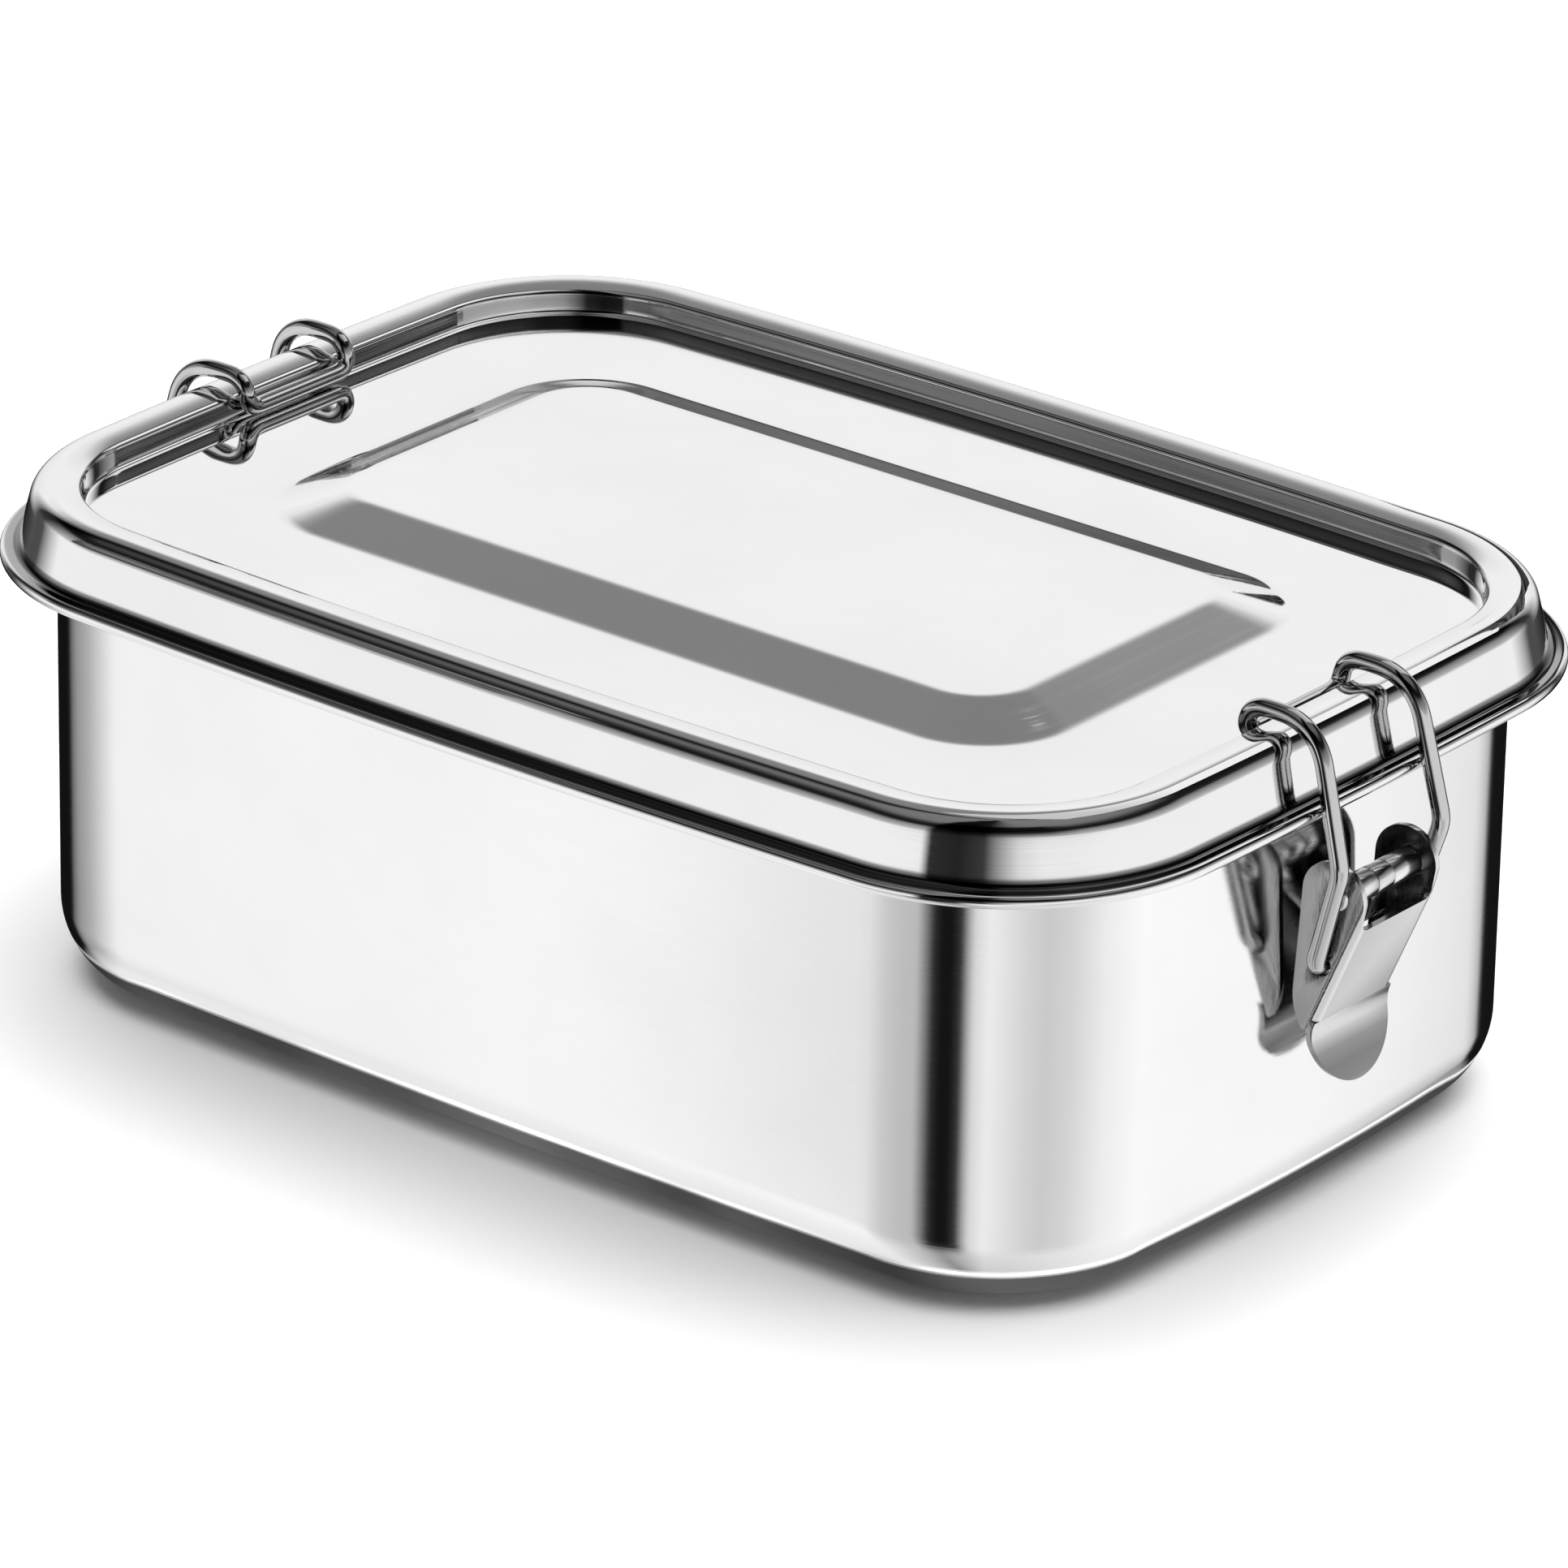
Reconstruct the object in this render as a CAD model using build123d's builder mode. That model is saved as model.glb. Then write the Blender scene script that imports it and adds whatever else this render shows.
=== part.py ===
"""Stainless steel lunch box: a deep-drawn tub, a lid held by two over-centre wire clips.

Millimetres.  The origin is the centre of the tub's underside, +X runs along the length
towards the right clip, +Y towards the back, +Z up.  The lid is closed and both clips are shut.
"""
from build123d import *
from math import atan2, cos, degrees, hypot, radians, sin, sqrt
import os

os.makedirs("parts", exist_ok=True)

# ---- driving dimensions --------------------------------------------------------------------
# Lid outline, at the outermost line of its rolled hem
LID_HALF_LENGTH = 100.0
LID_HALF_WIDTH = 69.9
LID_CORNER = 34.4
LID_LONG_BOW = 1610.0       # radius of the slightly bowed long sides
LID_SHORT_BOW = 1260.0

# Tub outline, at its outer wall
TUB_HALF_LENGTH = 93.5
TUB_HALF_WIDTH = 61.8
TUB_CORNER = 28.0
TUB_LONG_BOW = 2400.0
TUB_SHORT_BOW = 480.0
TUB_TOP = 67.2              # top of the wall, under the lid's channel
TUB_BOTTOM_RADIUS = 11.4
TUB_SHEET = 0.7
TUB_ROLL = 1.2              # radius of the rolled top edge

# Lid section: how far each line stands in from the hem, and its height
LID_SHEET = 0.6
HEM_RADIUS = 0.95
HEM_HEIGHT = 63.0           # centre of the hem
FLARE_RADIUS = 1.1
SKIRT_LEAN = 14.0           # degrees from vertical
CREST_RADIUS = 3.2
CREST_INSET = 7.3
CREST_TOP = 72.85
CROWN_RADIUS = 11.5
CROWN_TURN = 17.0
INNER_EDGE_RADIUS = 1.0
INNER_WALL_LEAN = 4.0
FOOT_RADIUS = 0.7
PANEL_TOP = 68.85
PANEL_LAP = 1.6             # how far the rim section runs into the flat panel

# Raised field in the middle of the lid
FIELD_RISE = 2.7
FIELD_FOOT = (66.5, 36.3, 15.0)    # half length, half width, corner radius
FIELD_TOP = (57.8, 27.4, 8.5)

# Silicone seal in the lid's channel
SEAL_INSETS = (5.0, 10.2)
SEAL_HEIGHTS = (68.5, 71.6)
SEAL_SHOULDER = 2.2

# Clip, in the plane across its pivot: distance out from the box's centre, and height
PIVOT = (100.9, 50.5)
SHEET = 0.9
LEVER_HALF_WIDTH = 8.5
LEVER_BEND = 1.4            # outer radius of the folds along the ears
EAR_CENTRE = (100.3, 50.4)
EAR_RADIUS = 4.9
EAR_BACK = ((95.1, 45.0), (94.5, 36.0))
PLATE_TOP = (104.5, 46.3)   # outer face of the plate, upper edge
PLATE_FOOT = (97.5, 29.8)
TAB_TIP = (100.0, 21.5)
TAB_BEND = 5.0
EYE_RADIUS = 2.05
EYE_BORE = 1.25
EYE_HALF_WIDTH = 1.7
PIN_RADIUS = 1.2
PIN_BORE = 0.55
PIN_HEAD_RADIUS = 1.8
PIN_HEAD = 0.45
END_GAP = 0.06              # play between neighbours along the pin
BRACKET_SHEET = 0.8
STRAP_OUT = 101.7           # outer face of the strap below the eye
STRAP_FOOT = 33.0           # lower end of the bracket's foot on the end wall
STRAP_BEND = 2.4
FOOT_HALF_WIDTH = 5.5

WIRE_RADIUS = 1.25
WIRE_HOLE = (98.8, 40.35)   # loose hole in the lever's ears
WIRE_HOLE_RADIUS = 1.6
BAR = (86.8, 70.42)         # crossbar of the bail, behind the lid's crest
BAR_HALF_SPAN = 10.45
BAR_CORNER = 1.55
ARCH_TOP = 75.0
ARCH_OUT = 98.3
ARCH_HALF_SPAN = 10.6
ARCH_RADII = (2.95, 7.0)
KINK = (103.3, 55.65)
KINK_HALF_SPAN = 11.3
KINK_RADIUS = 3.5
END_HALF_SPAN = 10.1
END_TIP = 6.6
END_RADIUS = 1.6


# ---- outlines ------------------------------------------------------------------------------
def outline(half_length, half_width, corner, long_bow, short_bow, inset=0.0):
    """A rounded rectangle with bowed sides, as nine tangent arcs that start mid front."""
    long_y = half_width - long_bow
    short_x = half_length - short_bow
    reach_long = long_bow - corner
    reach_short = short_bow - corner
    span = hypot(short_x, long_y)
    along = (reach_long**2 - reach_short**2 + span**2) / (2 * span)
    across = sqrt(reach_long**2 - along**2)
    ux, uy = short_x / span, -long_y / span
    corner_x = along * ux + across * uy
    corner_y = long_y + along * uy - across * ux
    if corner_x + corner_y < 0:
        corner_x = along * ux - across * uy
        corner_y = long_y + along * uy + across * ux
    top = degrees(atan2(corner_y - long_y, corner_x))
    side = degrees(atan2(corner_y, corner_x - short_x))
    with BuildLine() as line:
        CenterArc((0, -long_y), long_bow - inset, -90, 90 - top)
        CenterArc((corner_x, -corner_y), corner - inset, -top, top - side)
        CenterArc((short_x, 0), short_bow - inset, -side, 2 * side)
        CenterArc((corner_x, corner_y), corner - inset, side, top - side)
        CenterArc((0, long_y), long_bow - inset, top, 180 - 2 * top)
        CenterArc((-corner_x, corner_y), corner - inset, 180 - top, top - side)
        CenterArc((-short_x, 0), short_bow - inset, 180 - side, 2 * side)
        CenterArc((-corner_x, -corner_y), corner - inset, 180 + side, top - side)
        CenterArc((0, -long_y), long_bow - inset, 180 + top, 90 - top)
    return line.wire()


def lid_outline(inset):
    return outline(LID_HALF_LENGTH, LID_HALF_WIDTH, LID_CORNER, LID_LONG_BOW, LID_SHORT_BOW, inset)


def tub_outline(inset):
    return outline(TUB_HALF_LENGTH, TUB_HALF_WIDTH, TUB_CORNER, TUB_LONG_BOW, TUB_SHORT_BOW, inset)


# Section planes at the middle of the front side: local x runs inwards, local y up
LID_SECTION = Plane((0, -LID_HALF_WIDTH, 0), x_dir=(0, 1, 0), z_dir=(1, 0, 0))
TUB_SECTION = Plane((0, -TUB_HALF_WIDTH, 0), x_dir=(0, 1, 0), z_dir=(1, 0, 0))

# ---- tub -----------------------------------------------------------------------------------
with BuildPart() as tub:
    with BuildSketch(Plane.XY):
        with BuildLine():
            add(tub_outline(0))
        make_face()
    extrude(amount=TUB_TOP)
    fillet(tub.faces().sort_by(Axis.Z)[0].edges(), TUB_BOTTOM_RADIUS)
    offset(amount=-TUB_SHEET, openings=tub.faces().sort_by(Axis.Z)[-1])
    with BuildSketch(TUB_SECTION):
        with Locations((0, TUB_TOP)):
            Circle(TUB_ROLL)
    sweep(path=tub_outline(0))
tub.part.label = "tub"
export_step(tub.part, "parts/tub.step")

# ---- lid -----------------------------------------------------------------------------------
with BuildPart() as lid:
    with BuildSketch(LID_SECTION):
        with BuildLine() as section:
            lap = Line(
                (HEM_RADIUS, HEM_HEIGHT + HEM_RADIUS),
                (CREST_INSET - CREST_RADIUS - 2.4, HEM_HEIGHT + HEM_RADIUS),
            )
            flare = JernArc(lap @ 1, lap % 1, FLARE_RADIUS, 90 - SKIRT_LEAN)
            skirt_top = CREST_TOP - CREST_RADIUS * (1 - sin(radians(SKIRT_LEAN)))
            rise = (skirt_top - (flare @ 1).Y) / cos(radians(SKIRT_LEAN))
            skirt = PolarLine(flare @ 1, rise, 90 - SKIRT_LEAN)
            crest = JernArc(skirt @ 1, skirt % 1, CREST_RADIUS, SKIRT_LEAN - 90)
            crown = JernArc(crest @ 1, crest % 1, CROWN_RADIUS, -CROWN_TURN)
            edge_turn = 90 - INNER_WALL_LEAN - CROWN_TURN
            edge = JernArc(crown @ 1, crown % 1, INNER_EDGE_RADIUS, -edge_turn)
            foot_drop = FOOT_RADIUS * (1 - sin(radians(INNER_WALL_LEAN)))
            drop = ((edge @ 1).Y - PANEL_TOP - foot_drop) / cos(radians(INNER_WALL_LEAN))
            wall = PolarLine(edge @ 1, drop, INNER_WALL_LEAN - 90)
            foot = JernArc(wall @ 1, wall % 1, FOOT_RADIUS, 90 - INNER_WALL_LEAN)
            Line(foot @ 1, foot @ 1 + Vector(PANEL_LAP, 0))
            offset(amount=LID_SHEET, side=Side.RIGHT, closed=True)
        make_face()
        with Locations((HEM_RADIUS, HEM_HEIGHT)):
            Circle(HEM_RADIUS)
    sweep(path=lid_outline(0))
    panel_inset = (foot @ 1).X + PANEL_LAP / 2
    with BuildSketch(Plane.XY.offset(PANEL_TOP - LID_SHEET)):
        with BuildLine():
            add(lid_outline(panel_inset))
        make_face()
    extrude(amount=LID_SHEET)
    for drop in (0, LID_SHEET):
        with BuildSketch(Plane.XY.offset(PANEL_TOP - drop)):
            RectangleRounded(2 * FIELD_FOOT[0], 2 * FIELD_FOOT[1], FIELD_FOOT[2])
        with BuildSketch(Plane.XY.offset(PANEL_TOP + FIELD_RISE - drop)):
            RectangleRounded(2 * FIELD_TOP[0], 2 * FIELD_TOP[1], FIELD_TOP[2])
        loft(mode=Mode.SUBTRACT if drop else Mode.ADD)
lid.part.label = "lid"
export_step(lid.part, "parts/lid.step")

# ---- seal ----------------------------------------------------------------------------------
with BuildPart() as lid_seal:
    low, high = SEAL_HEIGHTS
    outer, inner = SEAL_INSETS
    with BuildSketch(LID_SECTION):
        with BuildLine():
            Polyline(
                (outer, low), (inner, low), (inner, high),
                (outer + SEAL_SHOULDER, high), (outer, high - SEAL_SHOULDER), (outer, low),
            )
        make_face()
    sweep(path=lid_outline(0))
lid_seal.part.label = "lid_seal"
export_step(lid_seal.part, "parts/lid_seal.step")


# ---- clip, drawn for the right end ---------------------------------------------------------
def lever_shape():
    """A folded channel: a plate, two ears with holes, and a rounded thumb tab."""
    (plate_x, plate_z), (foot_x, foot_z) = PLATE_TOP, PLATE_FOOT
    slope = degrees(atan2(plate_z - foot_z, plate_x - foot_x))
    fold = Vector(cos(radians(slope + 90)), sin(radians(slope + 90))) * SHEET
    ear_front = (EAR_CENTRE[0] + EAR_RADIUS, EAR_CENTRE[1])
    ear_back = (EAR_CENTRE[0] - EAR_RADIUS, EAR_CENTRE[1])
    up = Vector(cos(radians(slope)), 0, sin(radians(slope)))
    with BuildPart() as lever:
        with BuildSketch(Plane((foot_x, 0, foot_z), x_dir=(0, 1, 0), z_dir=up)):
            with BuildLine():
                FilletPolyline(
                    (-LEVER_HALF_WIDTH, 20), (-LEVER_HALF_WIDTH, 0),
                    (LEVER_HALF_WIDTH, 0), (LEVER_HALF_WIDTH, 20),
                    radius=LEVER_BEND,
                )
                offset(amount=SHEET, side=Side.LEFT, closed=True)
            make_face()
        extrude(amount=40)
        with BuildSketch(Plane.XZ):
            with BuildLine():
                Polyline(PLATE_FOOT, PLATE_TOP, ear_front)
                ThreePointArc(
                    ear_front, (EAR_CENTRE[0], EAR_CENTRE[1] + EAR_RADIUS), ear_back
                )
                Polyline(ear_back, EAR_BACK[0], EAR_BACK[1])
                heel = JernArc(EAR_BACK[1], (-0.07, -1), 9.0, 38)
                Polyline(heel @ 1, Vector(*PLATE_FOOT) + fold, PLATE_FOOT)
            make_face()
        extrude(amount=LEVER_HALF_WIDTH + 1, both=True, mode=Mode.INTERSECT)
        with BuildSketch(Plane.YZ.offset(PLATE_TOP[0] - 6)):
            with Locations((0, plate_z + 8)):
                RectangleRounded(2 * (LEVER_HALF_WIDTH - SHEET), 16, 1.2)
        extrude(amount=12, mode=Mode.SUBTRACT)
        with BuildSketch(Plane.XZ):
            with BuildLine():
                along = Vector(cos(radians(slope)), sin(radians(slope)))
                start = Vector(*PLATE_FOOT) + along * 1.95
                FilletPolyline(start, PLATE_FOOT, TAB_TIP, radius=TAB_BEND)
                offset(amount=SHEET, side=Side.RIGHT, closed=True)
            make_face()
        extrude(amount=LEVER_HALF_WIDTH, both=True)
        with BuildSketch(Plane.YZ):
            with Locations((0, foot_z + 20)):
                Rectangle(2 * LEVER_HALF_WIDTH, 40)
            with Locations((0, foot_z)):
                Ellipse(LEVER_HALF_WIDTH, foot_z - TAB_TIP[1])
        extrude(amount=120, mode=Mode.INTERSECT)
        with BuildSketch(Plane.XZ):
            with Locations(PIVOT):
                Circle(PIN_RADIUS + 0.03)
            with Locations(WIRE_HOLE):
                Circle(WIRE_HOLE_RADIUS)
        extrude(amount=LEVER_HALF_WIDTH + 1, both=True, mode=Mode.SUBTRACT)
    return lever.part


def bracket_shape():
    """A strip rolled into an eye round the pin, with a foot welded to the end wall."""
    with BuildPart() as bracket:
        with BuildSketch(Plane.XZ):
            with BuildLine():
                FilletPolyline(
                    (STRAP_OUT, PIVOT[1] - 1.4),
                    (STRAP_OUT, PIVOT[1] - 5.2),
                    (TUB_HALF_LENGTH + BRACKET_SHEET, PIVOT[1] - 9.0),
                    (TUB_HALF_LENGTH + BRACKET_SHEET, STRAP_FOOT),
                    radius=STRAP_BEND,
                )
                offset(amount=BRACKET_SHEET, side=Side.RIGHT, closed=True)
            make_face()
        extrude(amount=EYE_HALF_WIDTH, both=True)
        with BuildSketch(Plane.XZ):
            with Locations(PIVOT):
                Circle(EYE_RADIUS)
        extrude(amount=EYE_HALF_WIDTH, both=True)
        with BuildSketch(Plane.YZ.offset(TUB_HALF_LENGTH)):
            with Locations((0, STRAP_FOOT + 3.5)):
                RectangleRounded(2 * FOOT_HALF_WIDTH, 7, 1.5)
        extrude(amount=BRACKET_SHEET)
        with BuildSketch(Plane.XZ):
            with Locations(PIVOT):
                Circle(EYE_BORE)
        extrude(amount=EYE_HALF_WIDTH + 1, both=True, mode=Mode.SUBTRACT)
    return bracket.part


def rivet_shape():
    """A tubular rivet with a rolled head over each ear."""
    shank = LEVER_HALF_WIDTH + PIN_HEAD
    with BuildPart() as rivet:
        with BuildSketch(Plane.XZ):
            with Locations(PIVOT):
                Circle(PIN_RADIUS)
        extrude(amount=shank, both=True)
        for face_y in (LEVER_HALF_WIDTH, -LEVER_HALF_WIDTH - PIN_HEAD):
            with BuildSketch(Plane.XZ.offset(-face_y - PIN_HEAD)):
                with Locations(PIVOT):
                    Circle(PIN_HEAD_RADIUS)
            extrude(amount=PIN_HEAD)
        rims = rivet.edges().filter_by(GeomType.CIRCLE).group_by(Axis.Y)
        fillet(rims[0], PIN_HEAD * 0.8)
        fillet(rivet.edges().filter_by(GeomType.CIRCLE).group_by(Axis.Y)[-1], PIN_HEAD * 0.8)
        with BuildSketch(Plane.XZ):
            with Locations(PIVOT):
                Circle(PIN_BORE)
        extrude(amount=shank + 1, both=True, mode=Mode.SUBTRACT)
    return rivet.part


def sleeve_shape(side):
    """A spacer sleeve on the rivet between the eye and one ear."""
    start = EYE_HALF_WIDTH + END_GAP
    length = LEVER_HALF_WIDTH - SHEET - END_GAP - start
    with BuildPart() as sleeve:
        with BuildSketch(Plane.XZ.offset(side * start)):
            with Locations(PIVOT):
                Circle(EYE_RADIUS)
                Circle(EYE_BORE, mode=Mode.SUBTRACT)
        extrude(amount=side * length)
    return sleeve.part


def bail_shape():
    """A sprung wire loop: a bar behind the crest, two arches over it, arms and turned ends."""
    half = (
        (BAR[0], BAR_HALF_SPAN, BAR[1]),
        (BAR[0], BAR_HALF_SPAN, ARCH_TOP),
        (ARCH_OUT, ARCH_HALF_SPAN, ARCH_TOP),
        (KINK[0], KINK_HALF_SPAN, KINK[1]),
        (WIRE_HOLE[0], END_HALF_SPAN, WIRE_HOLE[1]),
        (WIRE_HOLE[0], END_TIP, WIRE_HOLE[1]),
    )
    radii = (BAR_CORNER, *ARCH_RADII, KINK_RADIUS, END_RADIUS)
    with BuildPart() as bail:
        with BuildLine() as wire:
            FilletPolyline((BAR[0], 0, BAR[1]), *half, radius=radii)
            mirror(about=Plane.XZ)
        with BuildSketch(Plane((BAR[0], 0, BAR[1]), z_dir=(0, 1, 0))):
            Circle(WIRE_RADIUS)
        sweep(path=wire.wires()[0])
    return bail.part


for side, turn in (("right", 0), ("left", 180)):
    shapes = {
        "bracket": bracket_shape(),
        "pivot_rivet": rivet_shape(),
        "front_sleeve": sleeve_shape(1),
        "back_sleeve": sleeve_shape(-1),
        "lever": lever_shape(),
        "bail": bail_shape(),
    }
    for piece, shape in shapes.items():
        name = f"{side}_{piece}"
        placed = shape.rotate(Axis.Z, turn)
        placed.label = name
        export_step(placed, f"parts/{name}.step")
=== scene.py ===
import math

import bmesh
import bpy
import numpy as np
from mathutils import Matrix, Vector


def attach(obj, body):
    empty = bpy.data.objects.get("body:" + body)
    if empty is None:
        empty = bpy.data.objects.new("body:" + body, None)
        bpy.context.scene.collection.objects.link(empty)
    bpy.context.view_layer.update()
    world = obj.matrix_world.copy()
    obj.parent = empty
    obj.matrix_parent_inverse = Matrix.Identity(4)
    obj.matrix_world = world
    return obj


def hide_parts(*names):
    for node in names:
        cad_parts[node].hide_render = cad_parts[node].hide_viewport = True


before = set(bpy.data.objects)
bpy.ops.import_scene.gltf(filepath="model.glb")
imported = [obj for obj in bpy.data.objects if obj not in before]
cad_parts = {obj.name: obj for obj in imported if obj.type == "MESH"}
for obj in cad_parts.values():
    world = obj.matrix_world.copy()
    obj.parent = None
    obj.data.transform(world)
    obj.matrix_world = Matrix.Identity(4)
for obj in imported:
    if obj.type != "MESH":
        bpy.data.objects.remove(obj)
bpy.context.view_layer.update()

MM = 0.001

# ---- outline and section, in millimetres ---------------------------------------------------
LID = (100.0, 69.9, 34.4, 1610.0, 1260.0)
TUB = (93.5, 61.8, 28.0, 2400.0, 480.0)


def outline(half_length, half_width, corner, long_bow, short_bow, steps=(72, 56, 48)):
    """Points and outward normals of a rounded rectangle with bowed sides."""
    long_y, short_x = half_width - long_bow, half_length - short_bow
    reach_long, reach_short = long_bow - corner, short_bow - corner
    span = math.hypot(short_x, long_y)
    along = (reach_long**2 - reach_short**2 + span**2) / (2 * span)
    across = math.sqrt(reach_long**2 - along**2)
    ux, uy = short_x / span, -long_y / span
    cx = along * ux + across * uy
    cy = long_y + along * uy - across * ux
    if cx + cy < 0:
        cx = along * ux - across * uy
        cy = long_y + along * uy + across * ux
    top = math.atan2(cy - long_y, cx)
    side = math.atan2(cy, cx - short_x)
    pi = math.pi
    n_long, n_corner, n_short = steps
    arcs = [
        ((0, -long_y), long_bow, -pi / 2, -top, n_long // 2),
        ((cx, -cy), corner, -top, -side, n_corner),
        ((short_x, 0), short_bow, -side, side, n_short),
        ((cx, cy), corner, side, top, n_corner),
        ((0, long_y), long_bow, top, pi - top, n_long),
        ((-cx, cy), corner, pi - top, pi - side, n_corner),
        ((-short_x, 0), short_bow, pi - side, pi + side, n_short),
        ((-cx, -cy), corner, pi + side, pi + top, n_corner),
        ((0, -long_y), long_bow, pi + top, 3 * pi / 2, n_long // 2),
    ]
    points, normals = [], []
    for centre, radius, start, end, count in arcs:
        for t in np.linspace(start, end, count, endpoint=False):
            n = np.array([math.cos(t), math.sin(t)])
            points.append(np.array(centre) + radius * n)
            normals.append(n)
    return np.array(points), np.array(normals)


def turtle(start, heading, moves):
    """A section line: moves are ("l", length, count) or ("a", radius, turn, count), in degrees."""
    x, y = start
    h = math.radians(heading)
    points = [(x, y)]
    for kind, size, *rest in moves:
        if kind == "l":
            count = rest[0] if rest else 1
            for i in range(count):
                x += size / count * math.cos(h)
                y += size / count * math.sin(h)
                points.append((x, y))
        else:
            turn, count = rest
            step = math.radians(turn) / count
            for i in range(count):
                chord = 2 * size * math.sin(abs(step) / 2)
                h += step / 2
                x += chord * math.cos(h)
                y += chord * math.sin(h)
                h += step / 2
                points.append((x, y))
    return points, math.degrees(h)


def offset_line(points, distance):
    """The same open line moved sideways, to its right."""
    p = np.array(points)
    d = np.gradient(p, axis=0)
    d /= np.linalg.norm(d, axis=1)[:, None]
    return p + distance * np.stack([d[:, 1], -d[:, 0]], 1)


def ring(outline_, inset, z):
    points, normals = outline_
    flat = points - normals * inset
    return np.column_stack([flat, np.full(len(flat), z)])


def radial_ring(shape, thetas, z):
    """A ring on the closed shape at fixed polar angles, so that unlike shapes join up."""
    a = np.arctan2(shape[:, 1], shape[:, 0])
    r = np.hypot(shape[:, 0], shape[:, 1])
    order = np.argsort(a)
    a, r = a[order], r[order]
    a = np.concatenate([a - 2 * np.pi, a, a + 2 * np.pi])
    r = np.concatenate([r, r, r])
    radius = np.interp(thetas, a, r)
    return np.column_stack([radius * np.cos(thetas), radius * np.sin(thetas), np.full(len(thetas), z)])


def rounded_rectangle(half_x, half_y, radius, steps=60):
    points = []
    for cx, cy, start in ((1, -1, -90), (1, 1, 0), (-1, 1, 90), (-1, -1, 180)):
        for t in np.radians(np.linspace(start, start + 90, steps)):
            points.append((cx * (half_x - radius) + radius * math.cos(t),
                           cy * (half_y - radius) + radius * math.sin(t)))
    dense = []
    for a, b in zip(points, points[1:] + points[:1]):
        count = max(1, int(math.dist(a, b) / 0.5))
        for i in range(count):
            dense.append((a[0] + (b[0] - a[0]) * i / count, a[1] + (b[1] - a[1]) * i / count))
    return np.array(dense)


# ---- mesh helpers --------------------------------------------------------------------------
def mesh_object(name, vertices, faces, material, sharp=None):
    mesh = bpy.data.meshes.new(name)
    mesh.from_pydata([tuple(float(c) * MM for c in v) for v in vertices], [], faces)
    mesh.validate()
    bm = bmesh.new()
    bm.from_mesh(mesh)
    bmesh.ops.remove_doubles(bm, verts=bm.verts, dist=1e-6)
    bmesh.ops.recalc_face_normals(bm, faces=bm.faces)
    for f in bm.faces:
        f.smooth = True
    bm.to_mesh(mesh)
    bm.free()
    if sharp is not None:
        mesh.set_sharp_from_angle(angle=math.radians(sharp))
    obj = bpy.data.objects.new(name, mesh)
    bpy.context.scene.collection.objects.link(obj)
    mesh.materials.append(material)
    return obj


def skin(rings, close=False):
    """Quads between rings of equal length; close joins the last ring to the first."""
    vertices = np.concatenate(rings)
    n, m = len(rings[0]), len(rings)
    faces = []
    for j in range(m if close else m - 1):
        k = (j + 1) % m
        for i in range(n):
            i2 = (i + 1) % n
            faces.append((j * n + i, j * n + i2, k * n + i2, k * n + i))
    return vertices, faces


def join(*parts):
    vertices, faces, base = [], [], 0
    for v, f in parts:
        vertices.append(np.asarray(v))
        faces += [tuple(i + base for i in face) for face in f]
        base += len(v)
    return np.concatenate(vertices), faces


def fan(last_ring):
    """Closes the middle of a ring with a centre point."""
    n = len(last_ring)
    centre = last_ring.mean(0)
    vertices = np.vstack([last_ring, centre])
    return vertices, [(i, (i + 1) % n, n) for i in range(n)]


def fillet_path(points, radii, step=4.0):
    """A line through points in space with a round bend of each radius at the inner points."""
    p = [np.array(q, float) for q in points]
    path = [p[0]]
    for before, corner, after, radius in zip(p, p[1:], p[2:], radii):
        a = (before - corner) / np.linalg.norm(before - corner)
        b = (after - corner) / np.linalg.norm(after - corner)
        half = math.acos(np.clip(a @ b, -1, 1)) / 2
        reach = radius / math.tan(half)
        centre = corner + (a + b) / np.linalg.norm(a + b) * radius / math.sin(half)
        start, end = corner + a * reach, corner + b * reach
        turn = math.pi - 2 * half
        count = max(3, int(math.degrees(turn) / step))
        u = (start - centre) / radius
        v = (end - centre) / radius
        w = v - (u @ v) * u
        w /= np.linalg.norm(w)
        for t in np.linspace(0, turn, count + 1):
            path.append(centre + radius * (math.cos(t) * u + math.sin(t) * w))
    path.append(p[-1])
    dense = [path[0]]
    for a, b in zip(path, path[1:]):
        if np.linalg.norm(b - a) < 1e-6:
            continue
        count = max(1, int(np.linalg.norm(b - a) / 1.5))
        dense += [a + (b - a) * i / count for i in range(1, count + 1)]
    return np.array(dense)


def relaxed(path, reach):
    """The same line with its bends eased over that many millimetres, ends kept."""
    length = np.concatenate([[0], np.cumsum(np.linalg.norm(np.diff(path, axis=0), axis=1))])
    even = np.linspace(0, length[-1], int(length[-1] / 0.25))
    line = np.column_stack([np.interp(even, length, path[:, i]) for i in range(3)])
    steps = np.arange(-12, 13)
    weights = np.exp(-0.5 * (steps * 0.25 / reach) ** 2)
    weights /= weights.sum()
    padded = np.vstack([2 * line[0] - line[12:0:-1], line, 2 * line[-1] - line[-2:-14:-1]])
    return np.column_stack([np.convolve(padded[:, i], weights, "valid") for i in range(3)])


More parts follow.
